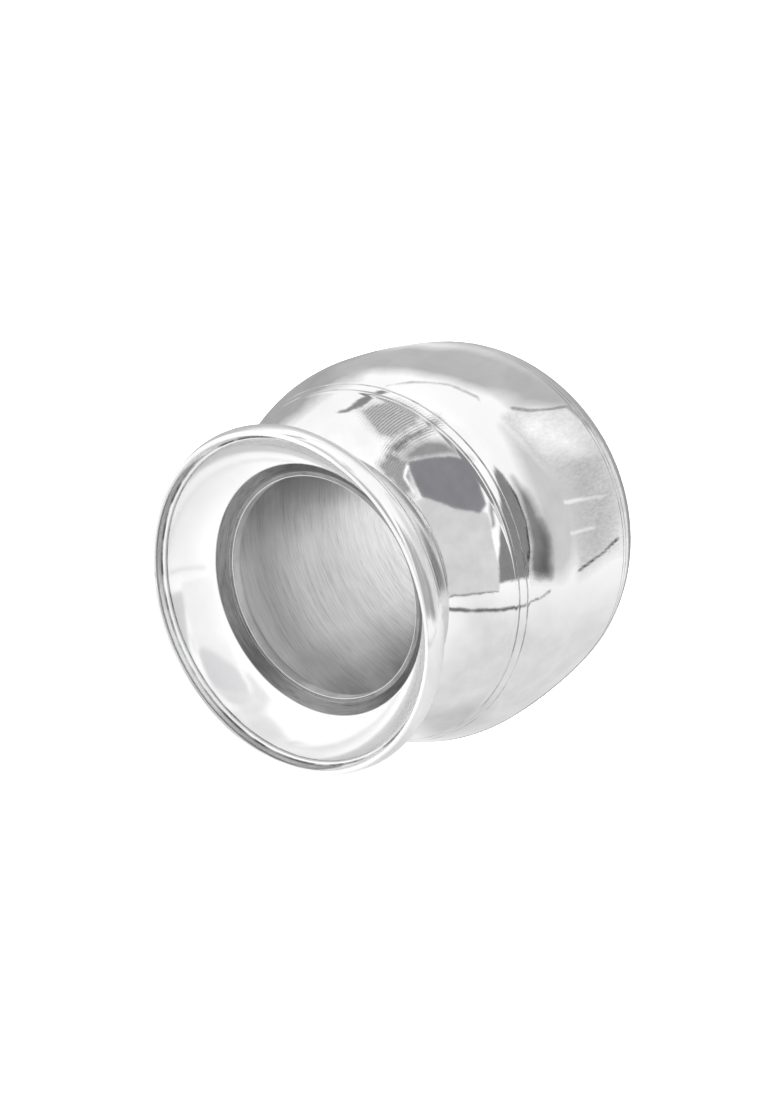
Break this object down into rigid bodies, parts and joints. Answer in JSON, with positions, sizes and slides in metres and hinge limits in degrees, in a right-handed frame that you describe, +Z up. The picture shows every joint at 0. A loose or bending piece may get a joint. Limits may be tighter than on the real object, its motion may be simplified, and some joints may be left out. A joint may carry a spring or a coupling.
{
  "type": "kalash",
  "caption": "Small round-bellied water pot with a narrow throat, flared funnel mouth, rounded rim band and fine engraved line pairs, standing on a flat base.",
  "frame": {"origin": "centre of the base, on the plane that the pot stands on", "axes": "+Z up along the axis of the pot, towards the mouth; the pot is the same all round"},
  "size_m": [0.075, 0.075, 0.075],
  "materials": {
    "polished_silver": "mirror polished white metal with faint lathe lines and fine scratches",
    "satin_silver": "satin, brushed round the axis",
    "hard_solder": "filed and half polished hard solder, slightly warmer than the sheet"
  },
  "bodies": {
    "root": {"lower_bowl": "polished_silver", "shoulder_shell": "polished_silver", "neck_collar": "satin_silver", "mouth_flare": "polished_silver", "rim_band": "polished_silver", "body_solder": "hard_solder", "neck_solder": "hard_solder", "flare_solder": "hard_solder", "rim_solder": "hard_solder"}
  },
  "joints": []
}
